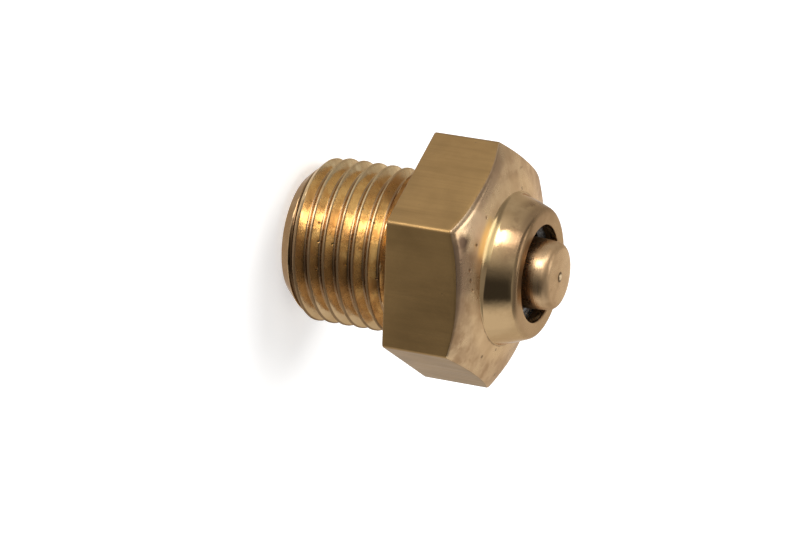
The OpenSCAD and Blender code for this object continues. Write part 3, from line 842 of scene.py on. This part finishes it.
# FLOOR
# A plain white card under the threaded end. It takes the valve's soft shadow, and the metal sees
# past it to the studio, which is white beyond the card too.
floor_mesh = bpy.data.meshes.new("floor")
half_side = 3.0
card_z = (END_Z - 0.02) * MM
floor_mesh.from_pydata([(x * half_side, y * half_side, card_z)
                        for x, y in ((-1, -1), (1, -1), (1, 1), (-1, 1))], [], [(0, 1, 2, 3)])
floor = bpy.data.objects.new("floor", floor_mesh)
bpy.context.scene.collection.objects.link(floor)
card = bpy.data.materials.new("white_card")
card.use_nodes = True
tree = card.node_tree
tree.nodes.remove(tree.nodes["Principled BSDF"])
paths = tree.nodes.new("ShaderNodeLightPath").outputs
paper = node_of(tree, "ShaderNodeBsdfDiffuse", {"Color": (0.80, 0.80, 0.80, 1)})
glow = node_of(tree, "ShaderNodeEmission", {"Color": (1, 1, 1, 1), "Strength": 0.5})
seen = node_of(tree, "ShaderNodeAddShader", {0: paper.outputs[0], 1: glow.outputs[0]})
plain = node_of(tree, "ShaderNodeMixShader", {0: paths["Is Camera Ray"], 1: paper.outputs[0],
                                              2: seen.outputs[0]})
through = math_node(tree, "MAXIMUM", paths["Is Glossy Ray"], paths["Is Transmission Ray"])
through = math_node(tree, "MAXIMUM", through, paths["Is Shadow Ray"])
# Seen from below the card is clear too, so that the threaded end shows
underside = tree.nodes.new("ShaderNodeNewGeometry").outputs["Backfacing"]
through = math_node(tree, "MAXIMUM", through, underside)
clear = node_of(tree, "ShaderNodeBsdfTransparent", {"Color": (1, 1, 1, 1)})
sheet = node_of(tree, "ShaderNodeMixShader", {
    0: through, 1: plain.outputs[0], 2: clear.outputs[0]})
tree.links.new(sheet.outputs[0], tree.nodes["Material Output"].inputs["Surface"])
floor_mesh.materials.append(card)

# STUDIO
# A white room: a pale table side below and behind the valve in the picture, a soft box at the
# upper left, and the darker side of the room where the camera stands. UP is the picture's upward
# direction, and BACK the one from the valve to the camera.
UP = Vector((0.95421, -0.25653, -0.15389))
BACK = Vector((0.29681, 0.87600, 0.38016))

world = bpy.data.worlds.new("studio")
bpy.context.scene.world = world
world.use_nodes = True
tree = world.node_tree
ray = tree.nodes.new("ShaderNodeTexCoord").outputs["Generated"]


def towards(aim):
    """How far the ray points to a direction, as the cosine of the angle between them."""
    return reach(tree, ray, tuple(aim))


axes = node_of(tree, "ShaderNodeSeparateXYZ", {0: ray}).outputs
# Round the valve's axis: the pale wall behind, the camera's dark side, and the table below. The
# dark side starts later in the directions that the thread's flanks reflect.
around = math_node(tree, "ARCTAN2", axes[1], axes[0])
around = math_node(tree, "ADD", around, remap(tree, axes[2], 0.15, 0.0, 0.0, -0.25))
around = math_node(tree, "ADD", around, remap(tree, axes[2], -0.40, -0.60, 0.0, -0.10))
behind = remap(tree, around, math.radians(-80), math.radians(-110), 0.56, 0.78)
dark = remap(tree, axes[2], 0.05, -0.43, 0.09, 0.38)
camera_side = remap(tree, around, math.radians(40), math.radians(100), 1.0, dark)
table = remap(tree, around, math.radians(121), math.radians(150), 0.0, 0.80)
level = math_node(tree, "MULTIPLY_ADD", behind, camera_side, table)
level = math_node(tree, "ADD", level, remap(tree, axes[2], -0.42, -0.56, 0.0, 0.10))
# Over the outlet end: brighter behind the valve and below it, dim towards the camera
front = math_node(tree, "MULTIPLY_ADD", towards(UP), 0.5, towards(BACK))
front = remap(tree, front, -0.65, -0.15, 0.92, 0.32)
over = remap(tree, axes[2], 0.38, 0.65)
level = node_of(tree, "ShaderNodeMix", {0: over, 2: level, 3: front}).outputs[0]
# A brighter patch low on the wall behind
low_patch = remap(tree, towards((-0.16, -0.97, 0.17)), 0.955, 0.99, 0.0, 0.18)
level = math_node(tree, "ADD", level, low_patch)
# The soft box is a tall sheet: how far the ray meets it to its side and along it
BOX_AZ = math.radians(30)
facing = towards((math.cos(BOX_AZ), math.sin(BOX_AZ), 0))
sideways = math_node(tree, "DIVIDE", towards((-math.sin(BOX_AZ), math.cos(BOX_AZ), 0)), facing)
lengthways = math_node(tree, "DIVIDE", axes[2], facing)
# It leans, and is wider at its lower end
bent = math_node(tree, "SUBTRACT", math_node(tree, "MAXIMUM", lengthways, -0.28), 0.107)
sideways = math_node(tree, "ABSOLUTE", math_node(tree, "MULTIPLY_ADD", bent, 0.7, sideways))
half_width = math_node(tree, "MULTIPLY_ADD", lengthways, -0.03, 0.22)
sideways = math_node(tree, "DIVIDE", sideways, half_width)
lengthways = math_node(tree, "ABSOLUTE", math_node(tree, "ADD", lengthways, 0.25))
box = product(tree, remap(tree, sideways, 0.90, 1.10, 5.0, 0.0),
              remap(tree, lengthways, 0.58, 0.70, 1.0, 0.0),
              math_node(tree, "GREATER_THAN", facing, 0.0))
halo = remap(tree, facing, 0.60, 0.98, 0.0, 0.28)
level = math_node(tree, "ADD", math_node(tree, "ADD", level, box), halo)
# A small light over the outlet end
small = remap(tree, towards((0.24, -0.20, 0.95)), 0.935, 0.985, 0.0, 2.2)
level = math_node(tree, "ADD", level, small)
# The bright upper wall of the room, which the shoulder shows as a streak beside one corner
streak = remap(tree, towards((-0.08, -0.62, 0.78)), 0.975, 0.998, 0.0, 0.35)
level = math_node(tree, "ADD", level, streak)
paths = tree.nodes.new("ShaderNodeLightPath").outputs
level = node_of(tree, "ShaderNodeMix", {0: paths["Is Camera Ray"], 2: level, 3: 1.0}).outputs[0]
tree.links.new(level, tree.nodes["Background"].inputs["Strength"])
tree.nodes["Background"].inputs["Color"].default_value = (1, 1, 1, 1)

lamp_data = bpy.data.lights.new("overhead_box", "AREA")
lamp_data.shape = "DISK"
lamp_data.size = 0.35
lamp_data.energy = 1.2
lamp = bpy.data.objects.new("overhead_box", lamp_data)
lamp.location = (0.12, -0.10, 0.45)
lamp.rotation_euler = (Vector((0, 0, 0)) - lamp.location).to_track_quat("-Z", "Y").to_euler()
lamp.visible_camera = False
lamp.visible_glossy = False
bpy.context.scene.collection.objects.link(lamp)

# CAMERA
# A long lens 38 cm away, turned so that the valve's axis lies across the picture. Place and focal
# length were fitted to the corners and the round edges in the photo.
RIGHT = Vector((0.03729, -0.40843, 0.91203))
camera_data = bpy.data.cameras.new("camera")
camera_data.sensor_width = 36.0
camera_data.lens = 180.77
camera_data.clip_start = 0.01
camera = bpy.data.objects.new("camera", camera_data)
spot = Vector((0.111354, 0.333333, 0.141649))
camera.matrix_world = Matrix((
    (RIGHT.x, UP.x, BACK.x, spot.x), (RIGHT.y, UP.y, BACK.y, spot.y),
    (RIGHT.z, UP.z, BACK.z, spot.z), (0, 0, 0, 1)))
bpy.context.scene.collection.objects.link(camera)
bpy.context.scene.camera = camera
bpy.context.scene.view_settings.view_transform = "Standard"
